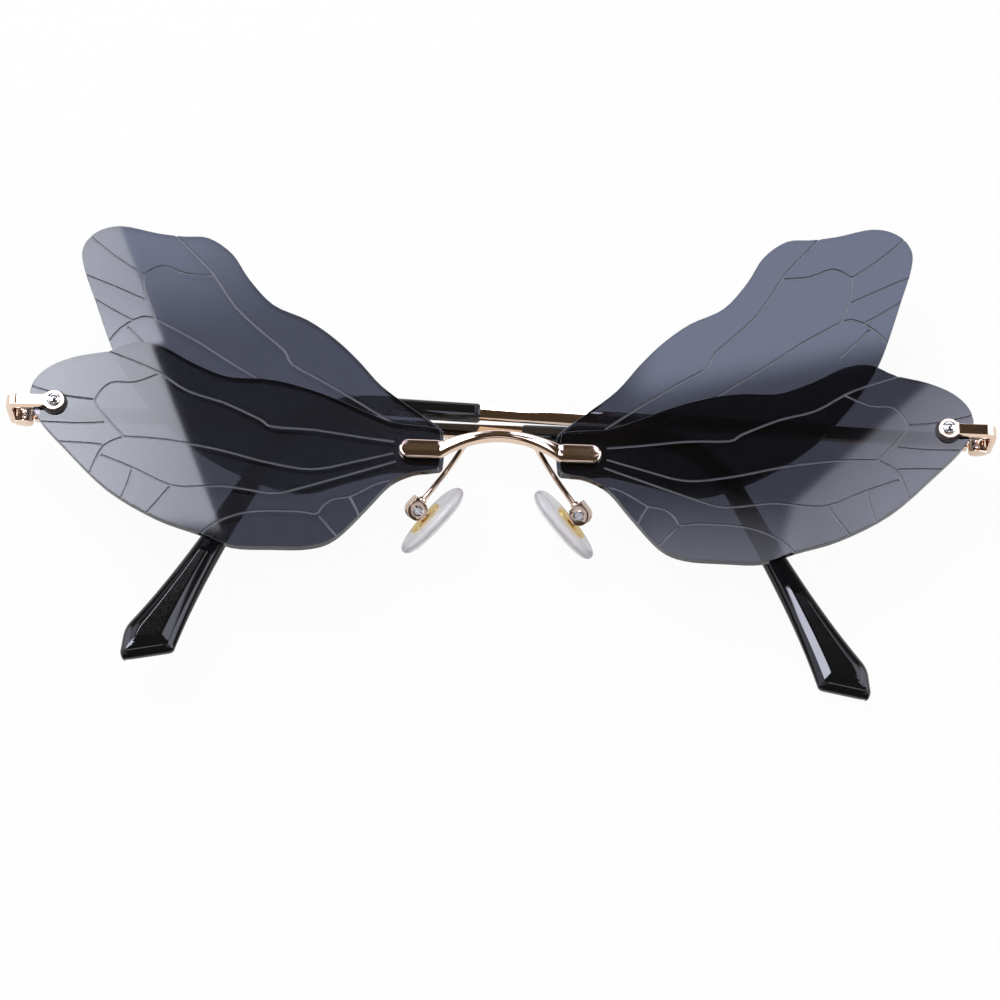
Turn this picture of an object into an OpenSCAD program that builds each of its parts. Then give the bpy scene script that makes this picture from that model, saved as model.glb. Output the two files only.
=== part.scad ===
// Rimless sunglasses with two overlapping dragonfly wing lenses on each side.
// They are drawn lying face up with both temples folded, as they come out of a case.
// X runs to the wearer's left as seen from the front, Y to the top of the wings, Z out of the front.

/* [Wing lenses] */
// Thickness of each wing
wing_t = 1.6; // [1.2:0.1:2.2]
// Size of the wings against the drawn outline
wing_size = 1; // [0.95:0.01:1.05]
// Turn of both upper wings the same way about the bridge, as this pair was screwed together
upper_skew = 2.2; // [-2:0.1:3]
// Width of the engraved veins
vein_w = 0.4; // [0.3:0.05:0.8]
// Depth of the engraved veins
vein_d = 0.25; // [0.1:0.05:0.5]

/* [Bridge] */
// Distance between the outer ends of the two bridge lugs
bridge_w = 31.6; // [31:0.2:33]
// Height of each lug
lug_h = 3; // [2.8:0.1:3.8]
// Height of the bar at the top of the arch
arch_h = 1.5; // [1.3:0.1:2.4]
// Rise of the arch above the lugs
arch_rise = 2.5; // [1:0.1:3.5]
// Thickness of the bridge from front to back
bridge_t = 1.5; // [1.2:0.1:2]
// Distance of the lugs below the temple screws
bridge_drop = 6.1; // [5.8:0.05:6.6]
// Radius of the two threaded studs behind each lug
stud_r = 0.6; // [0.5:0.05:0.7]
// Distance between the two studs of a lug
stud_pitch = 2.8; // [2.6:0.1:3.2]

/* [Washers and nuts] */
// Thickness of the washers
washer_t = 0.25; // [0.2:0.05:0.4]
// Radius of the clear washers at the bridge
washer_r = 1.25; // [1.1:0.05:1.3]
// Width across the flats of the nuts
nut_w = 2.3; // [2:0.1:2.4]
// Height of the nuts
nut_h = 1.1; // [0.8:0.1:1.4]

/* [Endpieces] */
// Distance between the two temple screws
screw_span = 140.2; // [139:0.2:142]
// Distance of each hinge pin outside its temple screw
hinge_out = 5.3; // [5:0.1:6]
// Distance of each hinge pin behind the front of the lenses
hinge_back = 5.6; // [5:0.1:6.5]
// Height of each hinge pin's middle above the temple screws
hinge_up = 0.3; // [0:0.1:0.6]
// Radius of the eye round the temple screw
eye_r = 1.7; // [1.4:0.05:1.8]
// Height of the strap
strap_h = 2.4; // [2.2:0.1:2.8]
// Thickness of the strap
strap_t = 1; // [0.8:0.05:1.2]
// Radius of the domed screw head
dome_r = 1.15; // [0.9:0.05:1.3]

/* [Hinges] */
// Radius of the hinge knuckles
knuckle_r = 1.3; // [1.2:0.05:1.4]
// Height of each of the three knuckles
knuckle_h = 1; // [0.9:0.05:1.2]
// Radius of the hinge screw
pin_r = 0.5; // [0.4:0.05:0.6]
// Radius of the hinge screw's head
pin_head_r = 0.95; // [0.8:0.05:1.1]

/* [Temples] */
// Height of the flat metal bar
bar_h = 2.2; // [2:0.1:2.6]
// Thickness of the flat metal bar
bar_t = 1.2; // [1:0.1:1.4]
// Distance from the hinge pin to the start of the plastic sleeve
sleeve_from = 78.8; // [70:0.2:84]
// Distance from the hinge pin to the corner of the left ear bend
bend_left = 107; // [104:0.2:110]
// Distance from the hinge pin to the corner of the right ear bend
bend_right = 108.4; // [104:0.2:110]
// Angle of the left ear bend
angle_left = 64.1; // [50:0.1:66]
// Angle of the right ear bend
angle_right = 61.7; // [50:0.1:66]
// Inner radius of the ear bend along its middle line
bend_r = 18; // [14:0.5:22]
// Length of each temple from its hinge pin over the corner of the bend to the tip
temple_l = 158; // [152:0.5:161]
// Climb of the left temple from its hinge, in degrees
rise_left = 1.9; // [0:0.1:2.4]
// Climb of the right temple from its hinge, in degrees
rise_right = 0.8; // [0:0.1:2.4]
// Lean of the folded left temple towards the lenses, in degrees
fold_left = 0.2; // [0:0.1:0.3]
// Lean of the folded right temple away from the lenses, over the left one, in degrees
fold_right = 3; // [2.9:0.1:3.6]

/* [Sleeves] */
// Height of the sleeve where it starts
sleeve_h = 3; // [2.8:0.1:3.4]
// Thickness of the sleeve where it starts
sleeve_t = 2.2; // [2:0.1:2.4]
// Widest part of the paddle at the end
paddle_w = 8.4; // [7:0.2:10]
// Thickness of the paddle
paddle_t = 2.8; // [2.4:0.1:3]
// Length of the metal core inside the sleeve
core_len = 15; // [10:1:16]

/* [Nose pads] */
// Length of each pad
pad_l = 13.5; // [12:0.1:15]
// Width of each pad
pad_w = 7.2; // [6:0.1:8]
// Thickness of each pad
pad_t = 2.4; // [2.2:0.1:3]
// Sideways place of each pad core's middle
pad_x = 10.7; // [10:0.1:11.4]
// Drop of each pad core's middle below the temple screws
pad_drop = 15.1; // [14.4:0.1:15.8]
// Distance of each pad core's middle behind the front of the lenses
pad_back = 8; // [7.5:0.1:8.5]
// Angle between each pad and upright, seen from the front
pad_splay = 42; // [36:0.5:45]
// Lean of each pad's lower end to the back
pad_lean = 13; // [5:1:18]
// Turn of each pad's face to the back
pad_flare = 32; // [24:1:36]
// Shift of each pad up along its core
pad_set = 0.5; // [0:0.1:0.8]
// Radius of the round cheeks of each pad's box
box_r = 1.6; // [1.5:0.05:1.7]
// Radius of each pad's screw
pad_pin_r = 0.4; // [0.3:0.05:0.5]
// Thickness of each pad arm's wire
wire_d = 0.9; // [0.7:0.05:1.1]

/* [Clearances] */
// Radial clearance of a moving pin in its bore
run_gap = 0.05; // [0.02:0.01:0.1]
// Gap between moving faces
face_gap = 0.1; // [0.05:0.01:0.15]
// Clearance round a fixed screw, stud or core
fit_gap = 0.05; // [0.02:0.01:0.1]

/* [Hidden] */

$fn = 48;
SMOKE = [0.10, 0.11, 0.15, 0.75];
GOLD = [0.86, 0.70, 0.52];
BLACK = [0.03, 0.03, 0.035];
CLEAR = [0.86, 0.86, 0.90, 0.6];
BRASS = [0.90, 0.72, 0.28];

// Outline of a lower wing, outwards from the middle of the nose and up from the temple screw
LOWER = [
    [9.4, -3.6], [10.4, -2.2], [16.5, -1.6], [21, 0], [26.5, 2.4], [33, 4.5], [38, 5.3],
    [43.5, 5.5], [49, 7.7], [54, 10.4], [58, 11], [62, 9.3], [67, 8.2], [71, 6.5],
    [73.5, 4], [74.1, 1], [72.5, -2.6], [68, -7.4], [61, -14], [53, -18.6], [46, -21],
    [41, -22.9], [35, -23], [29, -22.7], [25, -21], [20.5, -16], [17, -11.8],
    [13.5, -9.9], [10.6, -9.4], [9.4, -8.4]
];
// Outline of an upper wing, before its turn about the bridge
UPPER = [
    [8.9, -3], [9.7, -1.3], [14, 2], [18.6, 5.7], [22.3, 10.1], [26, 13.9], [30.5, 17.3],
    [36, 20], [40, 24.6], [42.8, 29.1], [46.7, 32], [50.8, 32.3], [55, 32.9], [60.8, 34.2],
    [64.7, 33.2], [66.8, 30.5], [66.6, 27], [64.6, 21.2], [61.3, 12.1], [58.4, 6.8],
    [54.5, 1.6], [48.5, -4.4], [40, -9.6], [31.2, -12.4], [24, -10.6], [17.5, -8.9],
    [14, -8.9], [10.6, -8.7], [9, -7.9]
];
LOWER_VEINS = [
    [[63.2, 9.4], [57.1, 7.1], [53.9, 5.6], [49.3, 2.7], [43.7, 1], [37.8, -1.7],
        [35.8, -2.9], [29.2, -3.2], [21.8, -4.2], [16.6, -4.8]],
    [[53.9, 5.6], [57.9, 3.9], [61.6, 3.7], [63.7, 1], [62.9, -1.1], [58.9, -5.4]],
    [[74.4, 2.8], [68.9, 1.3], [64.1, 0.8]],
    [[72.6, -3.3], [66.5, -3.4], [62.1, -3.1]],
    [[69.6, -6.6], [64.5, -6.7], [62.1, -6.9]],
    [[58.9, -5.4], [61.8, -7], [63.2, -10.1], [63.8, -12.3]],
    [[58.9, -5.4], [52.4, -5.7], [44.2, -7], [37.3, -8.7], [31, -9.8], [27.3, -9.6],
        [23.5, -8.6], [16.6, -6.7]],
    [[62.2, -8.6], [57.1, -10.6], [50.8, -13.4], [45.5, -13.3], [42.1, -13.2],
        [35.3, -14.1], [31.5, -13.3], [24.7, -11], [16.2, -8.1]],
    [[57.1, -10.7], [57.6, -13], [58.6, -16.1]],
    [[51, -13.5], [52.6, -15.7], [54.6, -18.4]],
    [[46, -21.6], [43.7, -19.3], [38.5, -17.3], [31.1, -17], [28.2, -17.3],
        [27.3, -16.1], [25.7, -14.8], [22.9, -14.2], [19.5, -12.2], [17, -11.3]],
    [[27.8, -17.6], [26, -19.6], [24.2, -21.7]],
    [[23.1, -14.4], [22.2, -16], [21.4, -17.7]]
];
UPPER_VEINS = [
    [[52.5, 33], [47.4, 27.5], [45.6, 25.2], [42, 19.6], [38.1, 15.6], [34.2, 12],
        [32.8, 9.5], [28.3, 6.8], [21.9, 2.7], [16.5, -0.9]],
    [[45.6, 25.2], [50.2, 25.6], [54, 27], [56.9, 25.4]],
    [[56.9, 25.4], [61.4, 28.5], [65.9, 32.4]],
    [[56.9, 25.4], [56.7, 22.9], [54.8, 17.6]],
    [[56.6, 21], [61.9, 23.5], [66.5, 25.5]],
    [[54.8, 17.6], [57, 17.9], [60.2, 16], [62.1, 13.4]],
    [[58.5, 17.4], [61, 18.8], [65, 21.3]],
    [[59.2, 16.2], [56.6, 13.5], [54.2, 11.2]],
    [[54.8, 17.6], [48.4, 13.9], [42, 9.5], [33, 3.8], [24, -1.2], [16.5, -4.4]]
];

screw_x = screw_span / 2;
hinge_x = screw_x + hinge_out;
outer_x = hinge_x + knuckle_r + face_gap + strap_t;
upper_z = -wing_t - washer_t;
nut_z = upper_z - wing_t;
stud_x = [bridge_w / 2 - 1.8 - stud_pitch, bridge_w / 2 - 1.8];
turn_x = bridge_w / 2 - 1.8 - stud_pitch / 2;
reach = (screw_x - turn_x) / 57.5;
strap_z = washer_t;
knuckle_step = knuckle_h + face_gap;
pivot_out = pad_t / 2 + 0.35 + box_r;
tab_t = 1;
cheek_t = 0.6;
box_half = tab_t / 2 + face_gap + cheek_t;
far_bend = temple_l - bend_right - 0.055 * paddle_w;
far_x = bend_right + far_bend * cos(angle_right) + 0.315 * paddle_w * sin(angle_right);
far_y = far_bend * sin(angle_right) - 0.315 * paddle_w * cos(angle_right);
far_reach = far_x * cos(rise_right) + far_y * sin(rise_right);
lift = hinge_back + far_reach * sin(fold_right) + paddle_t / 2 * cos(fold_right);
mid_y = 2.27;

// Smooth curve through points
function spline(a, b, c, d, t) =
    0.5 * (2 * b + (c - a) * t + (2 * a - 5 * b + 4 * c - d) * t * t
        + (3 * b - a - 3 * c + d) * t * t * t);
function ring_through(p, n) = [
    for (i = [0 : len(p) - 1])
        for (k = [0 : n - 1])
            spline(p[(i + len(p) - 1) % len(p)], p[i], p[(i + 1) % len(p)],
                p[(i + 2) % len(p)], k / n)
];
function line_through(p, n) = concat(
    [for (i = [0 : len(p) - 2])
        for (k = [0 : n - 1])
            spline(p[max(i - 1, 0)], p[i], p[i + 1], p[min(i + 2, len(p) - 1)], k / n)],
    [p[len(p) - 1]]);
// Drawn points moved to where the bridge and the temple screw are
function placed(p) = [
    for (q = p)
        [turn_x + ((q[0] - 41.35) * wing_size + 28.75) * reach, q[1] * wing_size]
];
function step_at(p, i) = p[min(i + 1, len(p) - 1)] - p[max(i - 1, 0)];
function unit(v) = v / norm(v);
function beside(p, d) = [
    for (i = [0 : len(p) - 1])
        let (u = unit(step_at(p, i)))
            p[i] + d * [-u[1], u[0]]
];
function turned(v) = [for (i = [len(v) - 1 : -1 : 0]) v[i]];
function mix(a, b, t) = a + (b - a) * t;
function ease(t) = t * t * (3 - 2 * t);

// Solid skin over rings of equally many points
module skin(rings) {
    n = len(rings[0]);
    m = len(rings);
    polyhedron(
        points = [for (r = rings) for (p = r) p],
        faces = concat(
            [[for (j = [n - 1 : -1 : 0]) j]],
            [for (i = [0 : m - 2]) for (j = [0 : n - 1])
                [i * n + j, (i + 1) * n + (j + 1) % n, (i + 1) * n + j]],
            [for (i = [0 : m - 2]) for (j = [0 : n - 1])
                [i * n + j, i * n + (j + 1) % n, (i + 1) * n + (j + 1) % n]],
            [[for (j = [0 : n - 1]) (m - 1) * n + j]]),
        convexity = 6);
}

module both_sides() {
    children();
    mirror([1, 0, 0]) children();
}

module on_side(side) {
    if (side > 0) children();
    else mirror([1, 0, 0]) children();
}

// Wing lenses
module wing(side, outline, veins, turn, holes) {
    color(SMOKE)
        on_side(side)
            difference() {
                turn_about_bridge(side * turn)
                    difference() {
                        linear_extrude(height = wing_t)
                            polygon(ring_through(placed(outline), 4));
                        for (v = veins)
                            translate([0, 0, wing_t - vein_d])
                                linear_extrude(height = 2 * vein_d)
                                    vein(placed(v));
                    }
                for (h = holes)
                    translate([h[0], h[1], -1])
                        cylinder(r = stud_r + fit_gap, h = wing_t + 2);
            }
}

module turn_about_bridge(a) {
    translate([turn_x, -bridge_drop, 0])
        rotate([0, 0, a])
            translate([-turn_x, bridge_drop, 0])
                children();
}

module vein(p) {
    q = line_through(p, 3);
    polygon(concat(beside(q, vein_w / 2), turned(beside(q, -vein_w / 2))));
}

module lower_wing(side) {
    translate([0, 0, -wing_t])
        wing(side, LOWER, LOWER_VEINS, 0,
            [[stud_x[0], -bridge_drop], [stud_x[1], -bridge_drop], [screw_x, 0]]);
}

module upper_wing(side) {
    translate([0, 0, nut_z])
        wing(side, UPPER, UPPER_VEINS, upper_skew,
            [[stud_x[0], -bridge_drop], [stud_x[1], -bridge_drop]]);
}

// Bridge with its studs
module bridge() {
    lug_x = bridge_w / 2 - lug_h / 2;
    inner_x = bridge_w / 2 - 6.5;
    n = 12;
    top = [for (i = [0 : n]) [inner_x * i / n, arch_y(i / n) + arch_half(i / n)]];
    low = [for (i = [n : -1 : 0]) [inner_x * i / n, arch_y(i / n) - arch_half(i / n)]];
    color(GOLD) {
        both_sides() {
            linear_extrude(height = bridge_t)
                polygon(concat(top, [[lug_x, lug_h / 2 - bridge_drop]],
                    [[lug_x, -lug_h / 2 - bridge_drop]], low));
            translate([lug_x, -bridge_drop, 0])
                cylinder(r = lug_h / 2, h = bridge_t);
            for (x = stud_x)
                translate([x, -bridge_drop, nut_z - nut_h - 0.3])
                    cylinder(r = stud_r, h = bridge_t / 2 + nut_h + 0.3 - nut_z);
        }
    }
}

function arch_y(t) = -bridge_drop + arch_rise * (1 - t * t);
function arch_half(t) = mix(arch_h, 0.9 * lug_h, t * t) / 2;

module bridge_washer(side) {
    color(CLEAR)
        on_side(side)
            translate([0, -bridge_drop, -wing_t - washer_t])
                difference() {
                    union() {
                        for (x = stud_x)
                            translate([x, 0, 0])
                                cylinder(r = washer_r, h = washer_t);
                        translate([stud_x[0], -washer_r, 0])
                            cube([stud_pitch, 2 * washer_r, washer_t]);
                    }
                    for (x = stud_x)
                        translate([x, 0, -1])
                            cylinder(r = stud_r + fit_gap, h = 3);
                }
}

module nut(side, x, y, z) {
    color(GOLD)
        on_side(side)
            translate([x, y, z - nut_h])
                difference() {
                    cylinder(r = nut_w / sqrt(3), h = nut_h, $fn = 6);
                    translate([0, 0, -1])
                        cylinder(r = stud_r + fit_gap, h = nut_h + 2);
                }
}

// Endpieces, their screws and the hinges
module endpiece(side) {
    wall_low = -hinge_back - 0.6 * knuckle_r;
    front = strap_z + strap_t;
    color(GOLD)
        on_side(side)
            difference() {
                union() {
                    translate([screw_x, 0, strap_z])
                        cylinder(r = eye_r, h = strap_t);
                    translate([screw_x, -strap_h / 2, strap_z])
                        cube([outer_x - strap_t - screw_x, strap_h, strap_t]);
                    translate([outer_x - strap_t, -strap_h / 2, wall_low])
                        cube([strap_t, strap_h, strap_z - wall_low]);
                    translate([outer_x - strap_t, strap_h / 2, strap_z])
                        rotate([90, 0, 0])
                            intersection() {
                                cylinder(r = strap_t, h = strap_h);
                                cube([2 * strap_t, 2 * strap_t, strap_h]);
                            }
                    for (k = [-1, 1])
                        translate([hinge_x, hinge_up + k * knuckle_step, -hinge_back])
                            outer_knuckle();
                }
                translate([screw_x, 0, -1])
                    cylinder(r = stud_r + fit_gap, h = 4);
                translate([hinge_x, hinge_up + 3 * knuckle_step, -hinge_back])
                    rotate([90, 0, 0])
                        cylinder(r = pin_r + fit_gap, h = 6 * knuckle_step);
            }
}

module outer_knuckle() {
    translate([0, knuckle_h / 2, 0])
        rotate([90, 0, 0])
            cylinder(r = knuckle_r, h = knuckle_h);
    translate([0, -knuckle_h / 2, -knuckle_r / 2])
        cube([outer_x - hinge_x - strap_t / 2, knuckle_h, knuckle_r]);
}

module temple_washer(side) {
    color(BLACK)
        on_side(side)
            translate([screw_x, 0, 0])
                difference() {
                    cylinder(r = eye_r + 0.3, h = washer_t);
                    translate([0, 0, -1])
                        cylinder(r = stud_r + fit_gap, h = 3);
                }
}

module temple_screw(side) {
    front = strap_z + strap_t;
    n = 8;
    color(GOLD)
        on_side(side)
            translate([screw_x, 0, 0])
                rotate_extrude()
                    polygon(concat(
                        [[0, -wing_t - nut_h - 0.3], [stud_r, -wing_t - nut_h - 0.3]],
                        [[stud_r, front]],
                        [for (i = [0 : n])
                            [dome_r * cos(90 * i / n), front + 0.15 + 0.6 * sin(90 * i / n)]
                            + [0, i == 0 ? -0.15 : 0]]));
}

module hinge_screw(side) {
    top = hinge_up + knuckle_step + knuckle_h / 2;
    color(GOLD)
        on_side(side)
            translate([hinge_x, top, -hinge_back])
                rotate([90, 0, 0]) {
                    cylinder(r = pin_r, h = 3 * knuckle_h + 2 * face_gap);
                    difference() {
                        translate([0, 0, -0.5])
                            cylinder(r = pin_head_r, h = 0.5);
                        translate([-2, -0.12, -1])
                            cube([4, 0.24, 0.75]);
                    }
                }
}

// Temples, drawn along X from the hinge pin, with the ear end turned down
module temple_place(side, fold) {
    on_side(side)
        translate([hinge_x, hinge_up, -hinge_back])
            mirror([1, 0, 0])
                rotate([0, fold, 0])
                    children();
}

module temple(side, fold, rise) {
    start = knuckle_r + 0.2;
    color(GOLD)
        temple_place(side, fold)
            difference() {
                union() {
                    translate([0, knuckle_h / 2, 0])
                        rotate([90, 0, 0])
                            cylinder(r = knuckle_r, h = knuckle_h);
                    translate([0, -knuckle_h / 2, -bar_t / 2])
                        cube([start + 1, knuckle_h, bar_t]);
                    rotate([0, 0, rise])
                        translate([start, -bar_h / 2, -bar_t / 2])
                            cube([sleeve_from + core_len - start, bar_h, bar_t]);
                }
                translate([0, 3 * knuckle_step, 0])
                    rotate([90, 0, 0])
                        cylinder(r = pin_r + run_gap, h = 6 * knuckle_step);
            }
}

module temple_tip(side, fold, rise) {
    slot_h = bar_h + 2 * fit_gap;
    slot_t = bar_t + 2 * fit_gap;
    color(BLACK)
        temple_place(side, fold)
            rotate([0, 0, rise])
                difference() {
                    skin([for (l = sleeve_stops(side)) sleeve_ring(side, l)]);
                    translate([sleeve_from - 1, -slot_h / 2, -slot_t / 2])
                        cube([core_len + 1 + face_gap, slot_h, slot_t]);
                    translate([bend_of(side), 0, 0])
                        rotate([0, 0, -angle_of(side)])
                            translate([temple_l - bend_of(side), 0, 0]) {
                                ear_cut(0, 0.23, -39);
                                ear_cut(-0.036, 0.275, 25);
                                ear_cut(-0.12, 0.34, 68);
                            }
                }
}

module ear_cut(x, y, turn) {
    translate([x * paddle_w, y * paddle_w, -paddle_w])
        rotate([0, 0, turn])
            translate([0, -2 * paddle_w, 0])
                cube([2 * paddle_w, 4 * paddle_w, 2 * paddle_w]);
}

function bend_of(side) = side > 0 ? bend_left : bend_right;
function angle_of(side) = side > 0 ? angle_left : angle_right;
function corner(side) = bend_r * tan(angle_of(side) / 2);
function straight(side) = bend_of(side) - corner(side) - sleeve_from;
function curve(side) = bend_r * angle_of(side) * PI / 180;
function ear(side) = temple_l - bend_of(side) - corner(side) + 2;
function sleeve_stops(side) = concat(
    [0],
    [for (i = [0 : 9]) straight(side) + curve(side) * i / 9],
    [for (i = [1 : 10]) straight(side) + curve(side) + ear(side) * i / 10]);
function sleeve_turn(side, l) =
    min(angle_of(side), max(0, (l - straight(side)) / bend_r * 180 / PI));
function sleeve_mid(side, l) =
    let (a = sleeve_turn(side, l))
    let (m = max(0, l - straight(side) - curve(side)))
    [sleeve_from + min(l, straight(side)) + bend_r * sin(a) + m * cos(a),
        -bend_r * (1 - cos(a)) - m * sin(a)];
function sleeve_ring(side, l) =
    let (whole = straight(side) + curve(side) + ear(side))
    let (wide = whole - 2 - 0.65 * paddle_w)
    let (a = sleeve_turn(side, l))
    let (c = sleeve_mid(side, l))
    let (h = sleeve_h / 2 + (paddle_w - sleeve_h) / 2 * pow(l / wide, 5.1))
    let (t = mix(sleeve_t, paddle_t, min(1, 1.6 * l / whole)) / 2)
    let (e = 0.5 * t)
    let (f = 0.2 * h + 0.25)
    [for (q = [[h - f, t], [h, t - e], [h, e - t], [h - f, -t],
            [f - h, -t], [-h, e - t], [-h, t - e], [f - h, t]])
        [c[0] + q[0] * sin(a), c[1] + q[0] * cos(a), q[1]]];

// Nose pads, their boxes and arms
module pad_place(side) {
    on_side(side)
        translate([pad_x, -pad_drop, -pad_back])
            rotate([0, 0, pad_splay])
                rotate([pad_lean, 0, 0])
                    rotate([0, -pad_flare, 0])
                        children();
}

function pad_turn_flare(p) = [
    p[0] * cos(pad_flare) - p[2] * sin(pad_flare), p[1],
    p[0] * sin(pad_flare) + p[2] * cos(pad_flare)
];
function pad_turn_lean(p) = [
    p[0], p[1] * cos(pad_lean) - p[2] * sin(pad_lean),
    p[1] * sin(pad_lean) + p[2] * cos(pad_lean)
];
function pad_turn_splay(p) = [
    p[0] * cos(pad_splay) - p[1] * sin(pad_splay),
    p[0] * sin(pad_splay) + p[1] * cos(pad_splay), p[2]
];
function pad_point(p) =
    [pad_x, -pad_drop, -pad_back] + pad_turn_splay(pad_turn_lean(pad_turn_flare(p)));

module nose_pad(side) {
    color(CLEAR)
        pad_place(side)
            difference() {
                skin([for (i = [0 : 10]) pad_ring(i / 10)]);
                translate([pad_t / 2 - 0.9, 0, 0])
                    core_plate(fit_gap);
            }
}

// Oval cross-sections from the rounded nose side to the flat back of a pad
function pad_ring(t) =
    let (k = t < 0.5 ? sqrt(1 - pow(1 - 2 * t, 2) * 0.8) : 1 - 0.12 * pow(2 * t - 1, 3))
    let (o = t < 0.5 ? 1 - (1 - k) * 0.9 : k)
    [for (j = [0 : 27])
        let (a = 360 * j / 28)
            [(t - 0.5) * pad_t, pad_set + pad_l / 2 * o * cos(a),
                -pad_w / 2 * o * sin(a) * (1 + 0.12 * cos(a))]];

module core_plate(g) {
    translate([-g, 0, 0])
        rotate([0, 90, 0])
            union() {
                for (y = [-1.6, 1.6])
                    translate([0, y, 0])
                        cylinder(r = 1.4 + g, h = 1 + g);
                translate([-1.4 - g, -1.6, 0])
                    cube([2.8 + 2 * g, 3.2, 1 + g]);
            }
}

module pad_core(side) {
    color(BRASS)
        pad_place(side)
            difference() {
                union() {
                    translate([pad_t / 2 - 0.9, 0, 0])
                        core_plate(0);
                    translate([pad_t / 2 - 0.5, -0.7, -tab_t / 2])
                        cube([pivot_out - pad_t / 2 + 0.5, 1.4, tab_t]);
                    translate([pivot_out, 0, -tab_t / 2])
                        cylinder(r = 1.05, h = tab_t);
                }
                translate([pivot_out, 0, -tab_t])
                    cylinder(r = pad_pin_r + run_gap, h = 2 * tab_t);
            }
}

module pad_box(side) {
    slot = tab_t + 2 * face_gap;
    color(GOLD)
        pad_place(side)
            translate([pivot_out, 0, 0])
                difference() {
                    union() {
                        translate([0, 0, -box_half])
                            cylinder(r = box_r, h = 2 * box_half);
                        translate([-box_r / 2, 0, -box_half])
                            cube([1.5 * box_r, box_r, 2 * box_half]);
                    }
                    translate([-3 * box_r, -3 * box_r, -slot / 2])
                        cube([3 * box_r + 1.2, 3 * box_r + 1.2, slot]);
                    translate([0, 0, -2 * box_half])
                        cylinder(r = pad_pin_r + fit_gap, h = 4 * box_half);
                }
}

module pad_screw(side) {
    color(GOLD)
        pad_place(side)
            translate([pivot_out, 0, 0]) {
                translate([0, 0, -box_half - 0.2])
                    cylinder(r = pad_pin_r, h = 2 * box_half + 0.2);
                difference() {
                    translate([0, 0, box_half])
                        cylinder(r = 0.85, h = 0.4);
                    translate([-1, -0.1, box_half + 0.2])
                        cube([2, 0.2, 1]);
                }
            }
}

module pad_arm(side) {
    foot = [bridge_w / 2 - 10.5, 1.7 - bridge_drop, 0];
    seat = pad_point([pivot_out + 0.3, box_r, 0]);
    lead = pad_point([pivot_out + 0.3, box_r + 1.5, 0]);
    way = [foot + [0, 0, -0.3], foot + [0.9, -0.8, -2], foot + [3.1, -3.25, -4.6], lead,
        seat + (lead - seat) * 0.15];
    color(GOLD) {
        on_side(side) {
            tube(line_through(way, 8), wire_d / 2);
            translate(foot - [0, 0, 0.6])
                cylinder(r = 0.8, h = 0.6);
        }
        pad_place(side)
            translate([pivot_out + 0.3, box_r + 0.6, 0])
                rotate([90, 0, 0])
                    cylinder(r = 0.7, h = 0.6);
    }
}

// Round wire along a line of points
module tube(p, r) {
    n = 16;
    skin([for (i = [0 : len(p) - 1])
        let (d = unit(step_at(p, i)))
        let (s = unit(cross([0.6, 0.7, 0.4], d)))
        let (u = cross(d, s))
            [for (k = [n - 1 : -1 : 0])
                p[i] + r * cos(360 * k / n) * s + r * sin(360 * k / n) * u]]);
}

translate([0, mid_y, lift]) {
    lower_wing(1);  // lower_wing_left
    lower_wing(-1);  // lower_wing_right
    upper_wing(1);  // upper_wing_left
    upper_wing(-1);  // upper_wing_right
    bridge();
    bridge_washer(1);  // bridge_washer_left
    bridge_washer(-1);  // bridge_washer_right
    nut(1, stud_x[0], -bridge_drop, nut_z);  // bridge_nut_left_inner
    nut(1, stud_x[1], -bridge_drop, nut_z);  // bridge_nut_left_outer
    nut(-1, stud_x[0], -bridge_drop, nut_z);  // bridge_nut_right_inner
    nut(-1, stud_x[1], -bridge_drop, nut_z);  // bridge_nut_right_outer
    endpiece(1);  // endpiece_left
    endpiece(-1);  // endpiece_right
    temple_washer(1);  // temple_washer_left
    temple_washer(-1);  // temple_washer_right
    temple_screw(1);  // temple_screw_left
    temple_screw(-1);  // temple_screw_right
    nut(1, screw_x, 0, -wing_t);  // temple_nut_left
    nut(-1, screw_x, 0, -wing_t);  // temple_nut_right
    hinge_screw(1);  // hinge_screw_left
    hinge_screw(-1);  // hinge_screw_right
    temple(1, -fold_left, rise_left);  // temple_left
    temple(-1, fold_right, rise_right);  // temple_right
    temple_tip(1, -fold_left, rise_left);  // temple_tip_left
    temple_tip(-1, fold_right, rise_right);  // temple_tip_right
    pad_arm(1);  // pad_arm_left
    pad_arm(-1);  // pad_arm_right
    pad_box(1);  // pad_box_left
    pad_box(-1);  // pad_box_right
    pad_screw(1);  // pad_screw_left
    pad_screw(-1);  // pad_screw_right
    pad_core(1);  // pad_core_left
    pad_core(-1);  // pad_core_right
    nose_pad(1);  // nose_pad_left
    nose_pad(-1);  // nose_pad_right
}
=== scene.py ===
import bpy
import math
import bmesh
from mathutils import Matrix, Vector

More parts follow.
